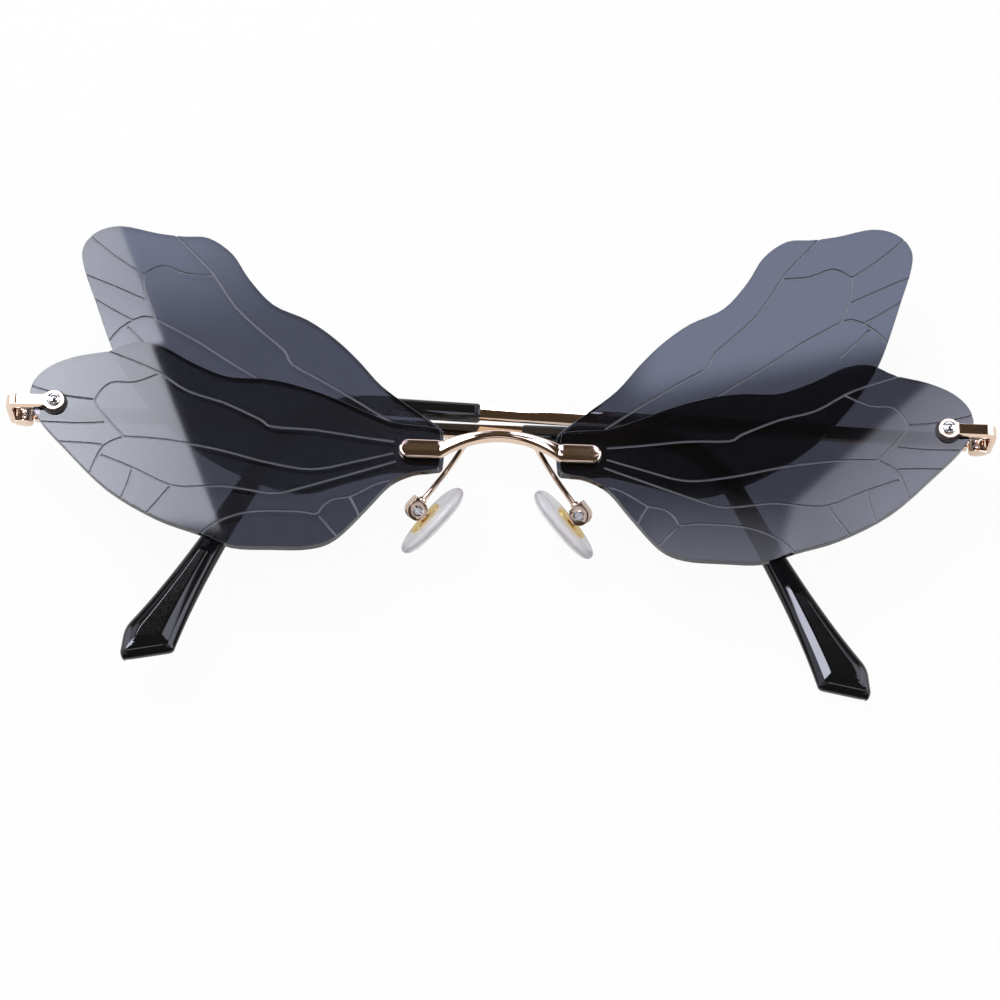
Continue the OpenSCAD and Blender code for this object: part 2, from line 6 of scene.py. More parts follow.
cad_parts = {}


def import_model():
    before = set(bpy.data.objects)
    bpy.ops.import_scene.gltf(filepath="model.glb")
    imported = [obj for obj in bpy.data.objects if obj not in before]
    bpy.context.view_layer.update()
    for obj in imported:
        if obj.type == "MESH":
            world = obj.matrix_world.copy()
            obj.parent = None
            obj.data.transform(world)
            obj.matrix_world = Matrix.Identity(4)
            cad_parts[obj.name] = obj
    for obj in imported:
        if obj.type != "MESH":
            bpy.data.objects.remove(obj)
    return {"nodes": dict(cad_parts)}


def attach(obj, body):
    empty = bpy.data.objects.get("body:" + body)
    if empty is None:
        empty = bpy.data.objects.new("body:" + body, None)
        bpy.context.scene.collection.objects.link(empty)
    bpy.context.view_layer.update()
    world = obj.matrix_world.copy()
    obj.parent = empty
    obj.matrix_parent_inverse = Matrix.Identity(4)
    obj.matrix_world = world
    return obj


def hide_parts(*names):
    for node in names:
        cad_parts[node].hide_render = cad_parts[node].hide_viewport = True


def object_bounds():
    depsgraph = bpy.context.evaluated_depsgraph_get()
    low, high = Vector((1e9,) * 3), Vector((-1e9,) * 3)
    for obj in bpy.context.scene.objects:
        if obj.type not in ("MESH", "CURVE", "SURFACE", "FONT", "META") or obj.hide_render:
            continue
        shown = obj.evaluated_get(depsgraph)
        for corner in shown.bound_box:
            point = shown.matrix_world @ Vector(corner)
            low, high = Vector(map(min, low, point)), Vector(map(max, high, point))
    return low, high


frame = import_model()
cad_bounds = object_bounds()
lowest, highest = cad_bounds


# Camera
# It stands 450 mm from the front, 22 degrees below the glasses' own axis, and is rolled a little,
# so that the wings at the right of the picture sit lower than those at the left.
DISTANCE = 0.450
BELOW = math.radians(22.0)
ROLL = math.radians(1.82)
SENSOR = 36
FOCAL = 104.5
FRONT = highest[2] - 0.0020     # the front face of the lower wings
SCREW_Y = 0.00227               # the height of the temple screws
AIM = Vector((0.00019, SCREW_Y - 0.01408, FRONT))

back = Vector((0, -math.sin(BELOW), math.cos(BELOW)))
upright = Vector((0, math.cos(BELOW), math.sin(BELOW)))
right = Vector((math.cos(ROLL), 0, 0)) + math.sin(ROLL) * upright
up = back.cross(right)
camera = bpy.data.objects.new("camera", bpy.data.cameras.new("camera"))
bpy.context.scene.collection.objects.link(camera)
camera.matrix_world = Matrix((
    (right.x, up.x, back.x, AIM.x + DISTANCE * back.x),
    (right.y, up.y, back.y, AIM.y + DISTANCE * back.y),
    (right.z, up.z, back.z, AIM.z + DISTANCE * back.z),
    (0, 0, 0, 1)))
camera.data.sensor_width = SENSOR
camera.data.lens = FOCAL
camera.data.clip_start = 0.01
bpy.context.scene.camera = camera
bpy.context.scene.view_settings.view_transform = "Standard"


# Smoke wing lenses
# Each wing is cut from flat tinted polycarbonate sheet and polished, and its veins are engraved
# into the front, where the cut stays frosted; the grooves' walls carry a dark painted shade. Its
# outline is ground matt and its edges are broken.
SIGNS = {"left": 1, "right": -1}      # the wearer's left is at +X
SMOKE = {
    "lower": ((0.039, 0.042, 0.060, 1), (0.042, 0.045, 0.064, 1)),
    "upper": ((0.054, 0.059, 0.086, 1), (0.058, 0.063, 0.091, 1))}
LENS_FRONT = {"lower": FRONT, "upper": FRONT - 0.00185}   # a lens and a washer further back
VEIN_FLOOR = ((0.30, 0.305, 0.335, 1), (0.25, 0.255, 0.29, 1))
# A dark colour for the grooves' walls: painted shade, not the colour of the frosted cut
GROOVE_WALL_SHADE = (0.035, 0.037, 0.050, 1)
EDGE_GREY = ((0.30, 0.31, 0.34, 1), (0.22, 0.23, 0.26, 1))
EDGE_CLEAR = (0.20, 0.21, 0.26, 1)
VEIN_DEPTH = 0.00025
EDGE_BREAK = 0.00011
SLACK = 0.00002                       # a tolerance in depth


class Wave:
    """A socket's value in a material, on which Python's own operators add Math nodes."""

    def __init__(self, paint, socket):
        self.paint = paint
        self.socket = socket

    def maths(self, operation, a, b=0.0):
        return self.paint.node("ShaderNodeMath", {"operation": operation}, {0: a, 1: b})

    def __add__(self, other):
        return self.maths("ADD", self, other)

    __radd__ = __add__

    def __sub__(self, other):
        return self.maths("SUBTRACT", self, other)

    def __rsub__(self, other):
        return self.maths("SUBTRACT", other, self)

    def __mul__(self, other):
        return self.maths("MULTIPLY", self, other)

    __rmul__ = __mul__

    def __truediv__(self, other):
        return self.maths("DIVIDE", self, other)

    def __gt__(self, other):
        return self.maths("GREATER_THAN", self, other)

    def __lt__(self, other):
        return self.maths("LESS_THAN", self, other)

    def __abs__(self):
        return self.maths("ABSOLUTE", self)

    def within(self, low, high):
        return self.maths("MAXIMUM", self.maths("MINIMUM", self, high), low)


class Paint:
    """A material and the nodes in it."""

    def __init__(self, name):
        self.material = bpy.data.materials.new(name)
        self.material.use_nodes = True
        self.tree = self.material.node_tree
        self.tree.nodes.clear()

    def node(self, kind, settings, sockets, out=0):
        """A node of a kind, with its settings made first, then its sockets set or linked."""
        made = self.tree.nodes.new(kind)
        for name, value in settings.items():
            setattr(made, name, value)
        for name, value in sockets.items():
            if isinstance(value, Wave):
                self.tree.links.new(value.socket, made.inputs[name])
            else:
                made.inputs[name].default_value = value
        return Wave(self, made.outputs[out])

    def part(self, wave, axis):
        return self.node("ShaderNodeSeparateXYZ", {}, {"Vector": wave}, axis)

    def place(self):
        return self.node("ShaderNodeTexCoord", {}, {}, "Object")

    def speckle(self, scale, detail):
        return self.node("ShaderNodeTexNoise", {}, {
            "Vector": self.place(), "Scale": scale, "Detail": detail, "Roughness": 0.55})

    def blend(self, factor, first, second):
        """Two colours mixed: 6 and 7 are the Mix node's colour inputs, and 2 its colour output."""
        return self.node("ShaderNodeMix", {"data_type": "RGBA"}, {0: factor, 6: first, 7: second}, 2)

    def rise(self, wave, low, high):
        """From 0 to 1 as the wave goes from low to high, eased at both ends."""
        return self.node("ShaderNodeMapRange", {"interpolation_type": "SMOOTHSTEP"}, {
            "Value": wave, "From Min": low, "From Max": high})

    def bump(self, height, strength, distance=0.00002):
        return self.node("ShaderNodeBump", {}, {
            "Height": height, "Strength": strength, "Distance": distance})

    def skin(self, sockets):
        return self.node("ShaderNodeBsdfPrincipled", {}, sockets)

    def either(self, factor, first, second):
        """Two shaders mixed: the first where the factor is 0, the second where it is 1."""
        return self.node("ShaderNodeMixShader", {}, {0: factor, 1: first, 2: second})

    def finish(self, surface):
        end = self.tree.nodes.new("ShaderNodeOutputMaterial")
        self.tree.links.new(surface.socket, end.inputs["Surface"])
        return self.material


def smoke_lens(name, front, tint):
    """Clear tinted plastic, with frost in the grooves below the front face and painted shade on their
    walls.
    """
    paint = Paint(name)
    smear = paint.speckle(25, 2)
    clear = paint.skin({
        "Base Color": paint.blend(smear, *tint),
        "Roughness": 0.02,
        "IOR": 1.5,
        "Transmission Weight": 1.0})
    depth = paint.part(paint.place(), "Z")
    facing = abs(paint.part(paint.node("ShaderNodeNewGeometry", {}, {}, "True Normal"), "Z"))
    groove = (depth < front - SLACK) * (depth > front - VEIN_DEPTH - SLACK)
    dust = paint.speckle(900, 2)
    floor_tone = paint.blend(dust * 0.5, *VEIN_FLOOR)
    # The grooves' steep walls take the dark painted shade, and a larger share of the frost
    walls = facing < 0.5
    frost = paint.skin({
        "Base Color": paint.blend(walls, floor_tone, GROOVE_WALL_SHADE),
        "Roughness": 0.5,
        "IOR": 1.4})
    return paint.finish(paint.either(groove * (0.55 + walls * 0.3), clear, frost))


def ground_edge(name):
    paint = Paint(name)
    grain = paint.speckle(1400, 4)
    matt = paint.skin({
        "Base Color": paint.blend(grain, *EDGE_GREY),
        "Roughness": 0.42 + grain * 0.1,
        "Normal": paint.bump(grain, 0.15)})
    clear = paint.skin({
        "Base Color": EDGE_CLEAR,
        "Roughness": 0.3,
        "IOR": 1.5,
        "Transmission Weight": 1.0})
    return paint.finish(paint.either(0.45 + grain * 0.2, clear, matt))


def joined_up(name, node, angle):
    """A copy of a CAD solid's mesh, with the faces that meet below an angle joined."""
    data = frame["nodes"][node].data.copy()
    data.name = name
    mesh = bmesh.new()
    mesh.from_mesh(data)
    bmesh.ops.remove_doubles(mesh, verts=mesh.verts, dist=1e-7)
    bmesh.ops.dissolve_limit(mesh, angle_limit=math.radians(angle), verts=mesh.verts, edges=mesh.edges)
    return data, mesh


def made_of(name, data, *materials):
    """A new object in the scene for a mesh."""
    piece = bpy.data.objects.new(name, data)
    bpy.context.scene.collection.objects.link(piece)
    data.materials.clear()
    for material in materials:
        data.materials.append(material)
    return piece


def cut_wing(name, node, lens, ground):
    """A wing with the edges of its outline and holes broken at 45 degrees and ground matt."""
    data, mesh = joined_up(name, node, 0.5)
    rear = min(v.co.z for v in mesh.verts)
    fore = max(v.co.z for v in mesh.verts)
    walls = set()
    for face in mesh.faces:
        face.smooth = False
        face.material_index = 0
        if abs(face.normal.z) < 0.3 and min(v.co.z for v in face.verts) < rear + 0.00005:
            walls.add(face)
            face.material_index = 1
            face.smooth = True
    rim = [e for e in mesh.edges
           if sum(f in walls for f in e.link_faces) == 1
           and any(abs(f.normal.z) > 0.9 for f in e.link_faces)
           and all(min(v.co.z - rear, fore - v.co.z) < 0.00001 for v in e.verts)]
    bmesh.ops.bevel(mesh, geom=rim, offset=EDGE_BREAK, offset_type="OFFSET", segments=1, profile=0.5,
                    affect="EDGES", clamp_overlap=True, material=1)
    mesh.to_mesh(data)
    mesh.free()
    piece = made_of(name, data, lens, ground)
    data.set_sharp_from_angle(angle=math.radians(25))
    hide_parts(node)
    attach(piece, "front")


ground = ground_edge("ground lens edge")
for level, front in LENS_FRONT.items():
    lens = smoke_lens("smoke lens, " + level, front, SMOKE[level])
    for side in SIGNS:
        cut_wing("%s_lens_%s" % (level, side), level + "_wing_" + side, lens, ground)


# Gold bridge
# A cast bar of nickel silver with pale gold plate, polished by hand. Its arch bows to the front
# between two round-ended lugs, whose threaded studs go through the wings. The front edges are
# rounded over, the lower one more widely.
BRIDGE_W = 31.6                 # over both lugs, in millimetres, as the sizes that follow
BRIDGE_T = 1.5
BRIDGE_DROP = 6.1               # from the temple screws down to the lugs' middle
ARCH_H = 1.5
ARCH_RISE = 2.5
ARCH_CROWN = 0.012
ARCH_LOW_EDGE = (0.42, 0.85)    # how far the lower rounding reaches up the face, and its depth
LUG_H = 3.0
LUG_FACE = 0.95
LUG_FROM = 9.3
LUG_CROWN = 0.030
LUG_LOW_EDGE = (0.28, 0.50)
HIGH_EDGE = (0.25, 0.30)
END_EDGE = 0.4                  # the depth of the rounding at the very ends
SHOULDER = 0.9                  # the arch runs into the lugs at this share of their height
SHOULDER_RUN = 0.5
STUD_R = 0.6
STUD_X = {"inner": 11.2, "outer": 14.0}
STUD_TOP = 0.2
WINGS_T = 3.45                  # two wings and the washer between them
NUT_H = 1.1
STUD_END = -WINGS_T - NUT_H - 0.3
THREAD_PITCH = 0.25
GOLD = (0.88, 0.68, 0.54, 1)
GOLD_DEEP = (0.80, 0.58, 0.42, 1)
GOLD_RUBBED = (0.92, 0.80, 0.66, 1)


def gold_plate(name):
    """Pale gold, deeper in clouds and paler where edges are rubbed."""
    paint = Paint(name)
    wear = paint.speckle(220, 5)
    polish = paint.speckle(1500, 2)
    edge = paint.node("ShaderNodeNewGeometry", {}, {}, "Pointiness")
    rubbed = ((edge - 0.52) * 6).within(0.0, 0.6)
    tone = paint.blend((wear * 1.6 - 0.4).within(0.0, 1.0) * 0.5, GOLD, GOLD_DEEP)
    return paint.finish(paint.skin({
        "Base Color": paint.blend(rubbed, tone, GOLD_RUBBED),
        "Metallic": 1.0,
        "Roughness": 0.02 + wear * 0.04,
        "Normal": paint.bump(polish, 0.04)}))


def world(x, y, z):
    """A point given in millimetres from the middle of the temple screws, at the wings' front."""
    return Vector((x / 1000, y / 1000 + SCREW_Y, z / 1000 + FRONT))


def circle(count):
    """The angles of a circle's points."""
    return [math.tau * k / count for k in range(count)]


def lofted(name, rings, material, sharp):
    """A smooth skin over rings of equally many points, closed by a flat face at each end."""
    mesh = bmesh.new()
    rows = [[mesh.verts.new(p) for p in ring] for ring in rings]
    count = len(rings[0])
    for a, b in zip(rows, rows[1:]):
        for k in range(count):
            mesh.faces.new((a[k], a[(k + 1) % count], b[(k + 1) % count], b[k]))
    mesh.faces.new(list(reversed(rows[0])))
    mesh.faces.new(rows[-1])
    bmesh.ops.remove_doubles(mesh, verts=mesh.verts, dist=1e-6)
    bmesh.ops.recalc_face_normals(mesh, faces=mesh.faces)
    for face in mesh.faces:
        face.smooth = True
    data = bpy.data.meshes.new(name)
    mesh.to_mesh(data)
    mesh.free()
    piece = made_of(name, data, material)
    data.set_sharp_from_angle(angle=math.radians(sharp))
    return piece


def between(arch, lug, t):
    """A size of the bridge that goes from the arch's to the lugs' as t goes from 0 to 1."""
    return arch + (lug - arch) * t * t


def bridge_ring(x):
    """The bar's section: a wide rounding below, a narrow one above, both wrapped round the end."""
    far = abs(x)
    t = min(1.0, far / LUG_FROM)
    middle = between(ARCH_RISE, 0.0, t) - BRIDGE_DROP
    half = between(ARCH_H, SHOULDER * LUG_H, t) / 2
    half += (1 - SHOULDER) / 2 * LUG_H * min(1.0, max(0.0, (far - LUG_FROM) / SHOULDER_RUN))
    crown = between(ARCH_CROWN, LUG_CROWN, t)
    face = between(BRIDGE_T, LUG_FACE, t) - crown
    beyond = min(half - 0.001, max(0.0, far - (BRIDGE_W - LUG_H) / 2))

    def reach(depth):
        return math.sqrt(max(0.0, (half - depth) * abs(half - depth) - beyond ** 2))

    low_edge = [between(arch, lug, t) for arch, lug in zip(ARCH_LOW_EDGE, LUG_LOW_EDGE)]
    edges = []
    for width, drop in (low_edge, HIGH_EDGE):
        points = [(reach(0.0), 0.0), (reach(0.0), 0.25)]
        for k in range(8):
            turn = math.radians(90 * k / 7)
            depth = width * (1 - math.cos(turn))
            q = reach(depth)
            if q > 0:
                fall = (END_EDGE + (drop - END_EDGE) * q / (half - depth)) * (1 - math.sin(turn))
            else:
                left = max(0.0, 1 - (half - beyond) / width)
                fall = END_EDGE * (1 - math.sqrt(max(0.0, 1 - left * left)))
            points.append((q, face - fall))
        edges.append(points)
    low, high = edges
    outline = [(-q, z) for q, z in low]
    span = low[-1][0] + high[-1][0]
    for u in (0.02, 0.1, 0.25, 0.5, 0.75, 0.9, 0.98):
        rise = crown * (1 - (2 * u - 1) ** 2) * min(1.0, span)
        top = low[-1][1] + (high[-1][1] - low[-1][1]) * u
        outline.append((-low[-1][0] + span * u, top + rise))
    outline += list(reversed(high))
    return [world(x, middle + q, z) for q, z in outline]


def threaded_stud(name, x):
    """A stud along Z with a rolled thread."""
    rings = []
    steps = int((STUD_TOP - STUD_END) / THREAD_PITCH * 4)
    for i in range(steps + 1):
        z = STUD_END + (STUD_TOP - STUD_END) * i / steps
        r = STUD_R * (1.0 if i % 4 < 2 else 0.9) if 0 < i < steps else STUD_R * 0.8
        rings.append([world(x + r * math.cos(a), r * math.sin(a) - BRIDGE_DROP, z) for a in circle(24)])
    return lofted(name, rings, gold, 60)


gold = gold_plate("pale gold plate")
round_end = [LUG_H / 2 * (1 - math.cos(math.radians(4.5 * k))) - BRIDGE_W / 2 for k in range(20)]
lug = [-LUG_FROM - 0.6 * k for k in range(1, 9)]
arch = [-LUG_FROM + 0.3 * k for k in range(32)]
stations = sorted({round(x * sign, 4) for x in round_end + lug + arch for sign in (1, -1)})
bridge = lofted("bridge_bar", [bridge_ring(x) for x in stations], gold, 50)
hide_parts("bridge")
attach(bridge, "front")
for side, sign in SIGNS.items():
    for place, x in STUD_X.items():
        stud = threaded_stud("bridge_stud_%s_%s" % (side, place), sign * x)
        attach(stud, "front")


# Washers and nuts
# Clear washers keep the two wings of a side apart, small hexagonal nuts close the studs at the
# back, and a black washer lies under the eye of each endpiece.
NUT_EDGE = 0.12


def clear_plastic(name):
    paint = Paint(name)
    haze = paint.speckle(400, 3)
    return paint.finish(paint.skin({
        "Base Color": (0.92, 0.92, 0.94, 1),
        "Roughness": 0.08 + haze * 0.06,
        "IOR": 1.45,
        "Transmission Weight": 1.0}))


def dark_rubber(name):
    paint = Paint(name)
    grain = paint.speckle(1800, 3)
    return paint.finish(paint.skin({
        "Base Color": paint.blend(grain, (0.012, 0.012, 0.014, 1), (0.03, 0.03, 0.033, 1)),
        "Roughness": 0.45 + grain * 0.15,
        "Normal": paint.bump(grain, 0.2)}))


def painted(node, material):
    part = frame["nodes"][node]
    part.data.materials.clear()
    part.data.materials.append(material)


def softened(name, node, material, width, body):
    """A metal CAD solid with its flat faces joined up and its edges rounded over."""
    data, mesh = joined_up(name, node, 1.0)
    for face in mesh.faces:
        face.smooth = True
    mesh.to_mesh(data)
    mesh.free()
    piece = made_of(name, data, material)
    rounded = piece.modifiers.new("rounded edges", "BEVEL")
    rounded.width = width / 1000
    rounded.segments = 3
    rounded.limit_method = "ANGLE"
    rounded.angle_limit = math.radians(35)
    rounded.harden_normals = True
    rounded.miter_outer = "MITER_ARC"
    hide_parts(node)
    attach(piece, body)


washer_clear = clear_plastic("clear washer")
washer_black = dark_rubber("black washer")
for side in SIGNS:
    painted("bridge_washer_" + side, washer_clear)
    painted("temple_washer_" + side, washer_black)
    for nut in ("bridge_nut_%s_inner" % side, "bridge_nut_%s_outer" % side, "temple_nut_" + side):
        softened(nut + "_turned", nut, gold, NUT_EDGE, "front")


# Endpieces
# A flat strap of the same gold metal is folded round the corner and carries two knuckles. Its
# eye lies over the black washer and takes a domed screw of bright nickel.
SCREW_X = 70.1
SCREW_EDGE = 0.05
EYE_R = 1.66
EYE_REACH = 1.5                 # from the screw to where the eye's plate ends on the strap
EYE_LEVELS = ((0.0, 0.0), (0.0, 0.86), (0.02, 0.93), (0.06, 0.98), (0.10, 1.0), (0.16, 1.0))
STRAP_FROM = 1.1                # from the screw to where the strap starts
STRAP_HALF = 1.06
STRAP_LOW = 0.25
STRAP_TOP = 1.25
STRAP_T = 0.98
STRAP_BEVEL = 0.22
STRAP_TILT = 0.032
FOLD_X = 75.9
FOLD_R = 1.4
WALL_X = 76.8
WALL_LOW = -6.35
HINGE_X = 75.4
HINGE_UP = 0.3
HINGE_BACK = 5.6
KNUCKLE_R = 1.3
KNUCKLE_UP = 1.1                # the outer knuckles' middles above and below the hinge's
WEB_HALF = 0.62
BARREL = ((0.14, -0.52), (0.03, -0.48), (0.0, -0.38), (0.0, 0.38), (0.03, 0.47), (0.14, 0.5))


def bright_nickel(name):
    paint = Paint(name)
    haze = paint.speckle(600, 3)
    return paint.finish(paint.skin({
        "Base Color": paint.blend(haze, (0.80, 0.78, 0.76, 1), (0.70, 0.67, 0.64, 1)),
        "Metallic": 1.0,
        "Roughness": 0.10 + haze * 0.06,
        "Normal": paint.bump(haze, 0.05)}))


def eased_corners(points, reach):
    """A closed ring of (across, height) points with each corner rounded over."""
    ring = []
    count = len(points)
    for k in range(count):
        p = Vector(points[k])
        before = Vector(points[k - 1]) - p
        after = Vector(points[(k + 1) % count]) - p
        a = p + before * min(0.35, reach / max(before.length, 1e-6))
        b = p + after * min(0.35, reach / max(after.length, 1e-6))
        ring.append(a + (a - p) * 0.25)
        for t in (0.0, 0.33, 0.67, 1.0):
            ring.append(a * (1 - t) ** 2 + p * 2 * t * (1 - t) + b * t * t)
        ring.append(b + (b - p) * 0.25)
    return ring


def strap_path():
    """The strap's middle line in its own plane, each point with the direction of its face."""
    middle = (STRAP_LOW + STRAP_TOP) / 2
    step = (FOLD_X - SCREW_X - STRAP_FROM) / 8
    path = [((SCREW_X + STRAP_FROM + step * k, middle - STRAP_TILT * step * k), (STRAP_TILT, 1))
            for k in range(9)]
    fold_z = path[-1][0][1]
    for k in range(1, 13):
        a = math.radians(7.5 * k)
        path.append(((FOLD_X + FOLD_R * math.sin(a), fold_z - FOLD_R * (1 - math.cos(a))),
                     (math.sin(a), math.cos(a))))
    depths = [fold_z - FOLD_R - 1.1 * k for k in range(1, 5)] + [WALL_LOW]
    return path + [((WALL_X + 0.5, z), (1, 0)) for z in depths]


def strap_ring(sign, middle, outward):
    """A rectangle with a bevelled face, square to the strap's path."""
    half = STRAP_HALF
    outline = [(-half, -0.5), (half, -0.5), (half, -0.12),
               (half - STRAP_BEVEL, 0.5), (STRAP_BEVEL - half, 0.5), (-half, -0.12)]
    return [world(sign * (middle[0] + outward[0] * q[1] * STRAP_T), q[0],
                  middle[1] + outward[1] * q[1] * STRAP_T)
            for q in eased_corners(outline, 0.05)]


def eye_outline(inset):
    """The round eye with its short neck, drawn in by an inset."""
    r = EYE_R - inset
    half = STRAP_HALF - inset
    points = [(SCREW_X + r * math.cos(a), r * math.sin(a))
              for a in [math.radians(44 + 272 * k / 44) for k in range(45)]]
    neck, tail = SCREW_X + EYE_REACH - 0.15, SCREW_X + EYE_REACH
    return points + [(neck, -half), (tail, -half), (tail, half), (neck, half)]


def knuckle_rings(sign, up):
    """A barrel round the hinge pin, with a web out to the strap's wall."""
    rings = []
    for inset, y in BARREL:
        r = KNUCKLE_R - inset
        ring = []
        for a in circle(40):
            x, z = r * math.cos(a), r * math.sin(a)
            if math.cos(a) > 0.45:      # the side that is soldered to the wall
                x = WALL_X - HINGE_X + 0.1
                z = max(-WEB_HALF, min(WEB_HALF, z * 1.6)) * r / KNUCKLE_R
            ring.append(world(sign * (HINGE_X + x), up + y, z - HINGE_BACK))
        rings.append(ring)
    return rings


nickel = bright_nickel("bright nickel")
for side, sign in SIGNS.items():
    strap = lofted("strap_" + side, [strap_ring(sign, *at) for at in strap_path()], gold, 50)
    eye_rings = [[world(sign * x, y, STRAP_LOW + rise) for x, y in eye_outline(inset)]
                 for inset, rise in EYE_LEVELS]
    eye = lofted("strap_eye_" + side, eye_rings, gold, 60)
    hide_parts("endpiece_" + side)
    pieces = [strap, eye]
    for name, up in (("upper", HINGE_UP + KNUCKLE_UP), ("lower", HINGE_UP - KNUCKLE_UP)):
        pieces.append(lofted("%s_knuckle_%s" % (name, side), knuckle_rings(sign, up), gold, 45))
    for piece in pieces:
        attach(piece, "front")
    softened("domed_screw_" + side, "temple_screw_" + side, nickel, SCREW_EDGE, "front")
    softened("hinge_pin_" + side, "hinge_screw_" + side, gold, SCREW_EDGE, "front")


# Temples
# Flat bars of the same gold metal, each with one knuckle that turns on its hinge screw between
# the endpiece's two. They run on inside the black sleeves.
BAR_EDGE = 0.05

for side in SIGNS:
    softened("temple_bar_" + side, "temple_" + side, gold, BAR_EDGE, "temple_" + side)


# Black ear sleeves
# Cast acetate, polished to a high gloss. The front is crowned between two broad bevels, the ear
# end widens to a paddle, and its tip is cut off at a slant with rounded corners.
SLEEVE_FROM = 78.8              # along the temple, from the hinge
SLEEVE_H = 3.0
SLEEVE_T = 2.2
CORE_END = 15.5                 # along the sleeve, past the end of the bar inside it
TEMPLE_L = 158.0                # over the corner of the bend
BEND_R = 18.0
PADDLE_W = 8.4
PADDLE_T = 2.8
PADDLE_SWELL = 5.1
TEMPLES = {
    "left": {"bend": 107.0, "angle": math.radians(64.1), "fold": math.radians(-0.2),
             "rise": math.radians(1.9)},
    "right": {"bend": 108.4, "angle": math.radians(61.7), "fold": math.radians(3.0),
              "rise": math.radians(0.8)}}
# The bevels as points of depth in from the outline and height, and the back's corners
LOWER_BEVEL = ((0.0, -0.30), (0.05, 0.0), (0.12, 0.12), (1.02, 0.83), (1.14, 0.90), (1.26, 0.945),
               (2.40, 1.29), (2.52, 1.32), (2.68, 1.345), (3.0, 1.36), (3.12, 1.36))
UPPER_BEVEL = ((0.0, -0.30), (0.06, 0.0), (0.18, 0.30), (0.38, 0.58), (0.68, 0.84), (1.05, 1.05),
               (1.45, 1.20), (1.85, 1.30), (2.0, 1.33), (2.2, 1.36), (2.32, 1.36))
BACK_CORNER = ((0.10, -0.62), (0.35, -0.90), (0.7, -1.0))
# The slanted edges of the tip: a height, its place from the tip, the slope, and how fast the
# edge moves in with depth
TIP_SHOULDER = (2.86, -1.0, 0.4045, 1.079)
TIP_FALL = (2.25, -0.3, 2.14, 2.36)
TIP_RISE = (-1.93, 0.0, 1.235, 1.589)


def black_acetate(name):
    paint = Paint(name)
    drift = paint.speckle(90, 4)
    scuff = paint.speckle(700, 6)
    return paint.finish(paint.skin({
        "Base Color": paint.blend(drift, (0.004, 0.004, 0.0045, 1), (0.009, 0.009, 0.010, 1)),
        "Roughness": 0.05 + scuff * 0.05,
        "IOR": 1.5,
        "Normal": paint.bump(drift, 0.05, 0.0002)}))


def turned(x, y, angle):
    return x * math.cos(angle) - y * math.sin(angle), x * math.sin(angle) + y * math.cos(angle)


def temple_point(side, x, y, z):
    """A point given along the temple from its hinge pin, in its folded place."""
    x, y = turned(x, y, TEMPLES[side]["rise"])
    x, z = turned(x, z, -TEMPLES[side]["fold"])
    return world(SIGNS[side] * (HINGE_X - x), HINGE_UP + y, z - HINGE_BACK)


def soft_min(a, b, reach):
    """The lower of two values, rounded over where they meet."""
    h = max(0.0, reach - abs(a - b)) / reach
    return min(a, b) - h * h * reach / 4


def height_at(profile, depth):
    """The height of a profile of (depth, height) points at a depth."""
    for (d0, z0), (d1, z1) in zip(profile, profile[1:]):
        if depth <= d1:
            return z0 + (z1 - z0) * (depth - d0) / (d1 - d0)
    return profile[-1][1]


def solved(function, low, high):
    """Where a rising function passes zero between two values."""
    for _ in range(30):
        middle = (low + high) / 2
        if function(middle) < 0:
            low = middle
        else:
            high = middle
    return (low + high) / 2


def slanted(edge, s, depth):
    """The height of a slanted edge at s along from the tip, moved in by a depth."""
    height, at, slope, inward = edge
    return height - (s - at) * slope - inward * depth


def sleeve_section(half, thick, size, s):
    """The section's points, across and out of the sleeve, and its middle, at s along from the tip.

    Towards the tip the upper outline falls slowly and then steeply, and the lower one rises. Each
    bevel follows its own outline.
    """
    def upper(d):
        top = soft_min(half - d, slanted(TIP_SHOULDER, s, d), 0.8)
        return soft_min(top, slanted(TIP_FALL, s, d), 1.2)

    def lower(d):
        return -soft_min(half - d, slanted(TIP_RISE, s, d), 0.7)

    def from_lower(q):
        return height_at(LOWER_BEVEL, solved(lambda d: lower(d * size) - q, 0.0, 3.0))

    def from_upper(q):
        return height_at(UPPER_BEVEL, solved(lambda d: q - upper(d * size), 0.0, 3.0))

    first, last = lower(0.0), max(upper(0.0), lower(0.0) + 0.06)
    flat_low, flat_high = lower(LOWER_BEVEL[-1][0] * size), upper(UPPER_BEVEL[-1][0] * size)
    crown = (flat_low + flat_high) / 2
    if flat_low > flat_high:
        crown = solved(lambda q: from_lower(q) - from_upper(q), first, last)
    peak = min(from_lower(crown), from_upper(crown))
    face = []
    for d, z in LOWER_BEVEL:
        q = lower(d * size)
        face.append((min(q, crown), z if q < crown else peak))
    for d, z in reversed(UPPER_BEVEL):
        q = upper(d * size)
        face.append((max(q, crown), z if q > crown else peak))
    rear = [(last - d * size, z) for d, z in BACK_CORNER]
    rear += [(first + d * size, z) for d, z in reversed(BACK_CORNER)]
    tuck = 1 - 0.4 * min(1.0, max(0.0, (s + 1.4) / 1.1)) ** 2
    ring = [(q, z / LOWER_BEVEL[-1][1] * thick) for q, z in face]
    ring += [(min(max(q, first), last), z * thick * tuck) for q, z in rear]
    return ring, (first + last) / 2


